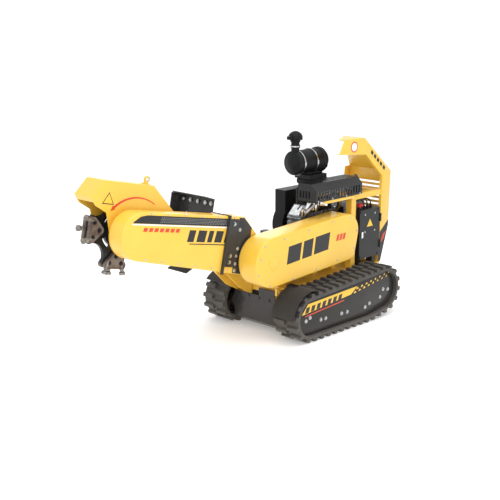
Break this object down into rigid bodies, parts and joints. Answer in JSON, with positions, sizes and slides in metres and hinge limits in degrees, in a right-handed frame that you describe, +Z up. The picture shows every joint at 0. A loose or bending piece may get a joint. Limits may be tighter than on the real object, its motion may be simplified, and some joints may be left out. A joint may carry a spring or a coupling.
{
  "type": "stump grinder",
  "caption": "Tracked, remote-controlled stump grinder with a swinging belt-driven arm, toothed cutter wheel, guards, engine and rear hood.",
  "frame": {"origin": "bottom centre of the whole machine, on the ground under the tracks", "axes": "+Z up, the arm and cutter point along -Y, +X is the side with the belt guards"},
  "size_m": [0.88, 2.5354, 1.338],
  "materials": {
    "yellow_paint": "gloss powder coat",
    "frame_paint": "gloss powder coat",
    "dark_paint": "satin powder coat",
    "rubber": "moulded matt rubber",
    "engine_alloy": "cast and machined",
    "black_plastic": "fine grained",
    "steel": "turned",
    "cast_steel": "forged, worn",
    "chrome_trim": "plated",
    "red_plastic": "gloss",
    "filter_paint": "gloss"
  },
  "bodies": {
    "chassis": {"air_cleaner": "black_plastic", "belt_guard": "yellow_paint", "blower_housing": "black_plastic", "chassis_frame": "frame_paint", "control_box": "dark_paint", "drive_belt": "rubber", "engine_block": "engine_alloy", "fender_bracket_left": "frame_paint", "fender_bracket_right": "frame_paint", "fender_flap_left": "rubber", "fender_flap_right": "rubber", "front_plate": "dark_paint", "fuel_tank": "black_plastic", "guard_back_plate": "frame_paint", "hydraulic_hose": "rubber", "hydraulic_tank": "dark_paint", "intake_duct": "dark_paint", "muffler": "steel", "muffler_guard": "dark_paint", "oil_cooler": "engine_alloy", "oil_filter": "filter_paint", "precleaner_cap": "black_plastic", "rear_frame": "frame_paint", "rear_hood": "yellow_paint", "rotary_actuator": "dark_paint", "rubber_track_left": "rubber", "rubber_track_right": "rubber", "track_cover_left": "dark_paint", "track_cover_right": "dark_paint", "track_frame_left": "dark_paint", "track_frame_right": "dark_paint"},
    "arm": {"arm_beam": "frame_paint", "arm_guard": "yellow_paint", "arm_belt": "rubber", "cutter_bearing": "steel", "wheel_guard": "yellow_paint", "lifting_eye": "yellow_paint", "shield": "dark_paint", "shield_apron": "rubber"},
    "cutter": {"cutter_shaft": "steel", "cutter_pulley": "steel", "cutter_disc": "dark_paint", "tooth_holders": "cast_steel", "cutter_teeth": "cast_steel"},
    "jackshaft": {"jackshaft": "steel"},
    "crank_pulley": {"crank_pulley": "steel"},
    "fuel_cap": {"fuel_cap": "black_plastic"},
    "hydraulic_cap": {"hydraulic_cap": "black_plastic"},
    "cooler_fan": {"cooler_fan": "black_plastic"},
    "box_door": {"box_door": "dark_paint"},
    "door_latch": {"door_latch": "chrome_trim"},
    "emergency_stop": {"emergency_stop": "red_plastic"},
    "idler_left": {"idler_left": "dark_paint"},
    "sprocket_left": {"sprocket_left": "dark_paint"},
    "roller_front_left": {"roller_front_left": "dark_paint"},
    "roller_rear_left": {"roller_rear_left": "dark_paint"},
    "idler_right": {"idler_right": "dark_paint"},
    "sprocket_right": {"sprocket_right": "dark_paint"},
    "roller_front_right": {"roller_front_right": "dark_paint"},
    "roller_rear_right": {"roller_rear_right": "dark_paint"}
  },
  "joints": [
    {"name": "arm_swing", "type": "hinge", "parent": "chassis", "child": "arm", "pos_m": [0, -0.06027, 0.56], "axis": [-1, 0, 0], "range_deg": [-102, 80]},
    {"name": "cutter_spin", "type": "hinge", "parent": "arm", "child": "cutter", "pos_m": [-0.11, -0.9991, 0.85668], "axis": [1, 0, 0], "continuous": true},
    {"name": "jackshaft_spin", "type": "hinge", "parent": "chassis", "child": "jackshaft", "pos_m": [0, -0.06027, 0.56], "axis": [1, 0, 0], "continuous": true},
    {"name": "crank_spin", "type": "hinge", "parent": "chassis", "child": "crank_pulley", "pos_m": [0, 0.64973, 0.61], "axis": [1, 0, 0], "continuous": true},
    {"name": "fan_spin", "type": "hinge", "parent": "chassis", "child": "cooler_fan", "pos_m": [-0.005, 0.98973, 0.61], "axis": [0, 1, 0], "continuous": true},
    {"name": "fuel_cap_turn", "type": "hinge", "parent": "chassis", "child": "fuel_cap", "pos_m": [-0.15, 0.33973, 0.62], "axis": [0, 0, 1], "range_deg": [0, 90]},
    {"name": "hydraulic_cap_turn", "type": "hinge", "parent": "chassis", "child": "hydraulic_cap", "pos_m": [0.04, 0.29973, 0.54], "axis": [0, 0, 1], "range_deg": [0, 90]},
    {"name": "box_door_hinge", "type": "hinge", "parent": "chassis", "child": "box_door", "pos_m": [0.245, 1.14073, 0.574], "axis": [0, 0, 1], "range_deg": [0, 110]},
    {"name": "door_latch_turn", "type": "hinge", "parent": "box_door", "child": "door_latch", "pos_m": [0.236, 0.92573, 0.574], "axis": [1, 0, 0], "range_deg": [0, 90]},
    {"name": "emergency_stop_press", "type": "slide", "parent": "chassis", "child": "emergency_stop", "axis": [0, 0, -1], "range_m": [0, 0.006]},
    {"name": "idler_left_spin", "type": "hinge", "parent": "chassis", "child": "idler_left", "pos_m": [0.334, 0.16973, 0.165], "axis": [1, 0, 0], "continuous": true},
    {"name": "sprocket_left_spin", "type": "hinge", "parent": "chassis", "child": "sprocket_left", "pos_m": [0.334, 0.96473, 0.2], "axis": [1, 0, 0], "continuous": true},
    {"name": "roller_front_left_spin", "type": "hinge", "parent": "chassis", "child": "roller_front_left", "pos_m": [0.334, 0.47973, 0.0975], "axis": [1, 0, 0], "continuous": true},
    {"name": "roller_rear_left_spin", "type": "hinge", "parent": "chassis", "child": "roller_rear_left", "pos_m": [0.334, 0.79473, 0.0975], "axis": [1, 0, 0], "continuous": true},
    {"name": "idler_right_spin", "type": "hinge", "parent": "chassis", "child": "idler_right", "pos_m": [-0.334, 0.16973, 0.165], "axis": [1, 0, 0], "continuous": true},
    {"name": "sprocket_right_spin", "type": "hinge", "parent": "chassis", "child": "sprocket_right", "pos_m": [-0.334, 0.96473, 0.2], "axis": [1, 0, 0], "continuous": true},
    {"name": "roller_front_right_spin", "type": "hinge", "parent": "chassis", "child": "roller_front_right", "pos_m": [-0.334, 0.47973, 0.0975], "axis": [1, 0, 0], "continuous": true},
    {"name": "roller_rear_right_spin", "type": "hinge", "parent": "chassis", "child": "roller_rear_right", "pos_m": [-0.334, 0.79473, 0.0975], "axis": [1, 0, 0], "continuous": true}
  ],
  "couplings": [
    {"joint": "jackshaft_spin", "follows": "cutter_spin", "ratio": 1},
    {"joint": "crank_spin", "follows": "cutter_spin", "ratio": 1},
    {"joint": "sprocket_left_spin", "follows": "idler_left_spin", "ratio": 0.92453},
    {"joint": "roller_front_left_spin", "follows": "idler_left_spin", "ratio": 2.2273},
    {"joint": "roller_rear_left_spin", "follows": "idler_left_spin", "ratio": 2.2273},
    {"joint": "sprocket_right_spin", "follows": "idler_right_spin", "ratio": 0.92453},
    {"joint": "roller_front_right_spin", "follows": "idler_right_spin", "ratio": 2.2273},
    {"joint": "roller_rear_right_spin", "follows": "idler_right_spin", "ratio": 2.2273}
  ]
}
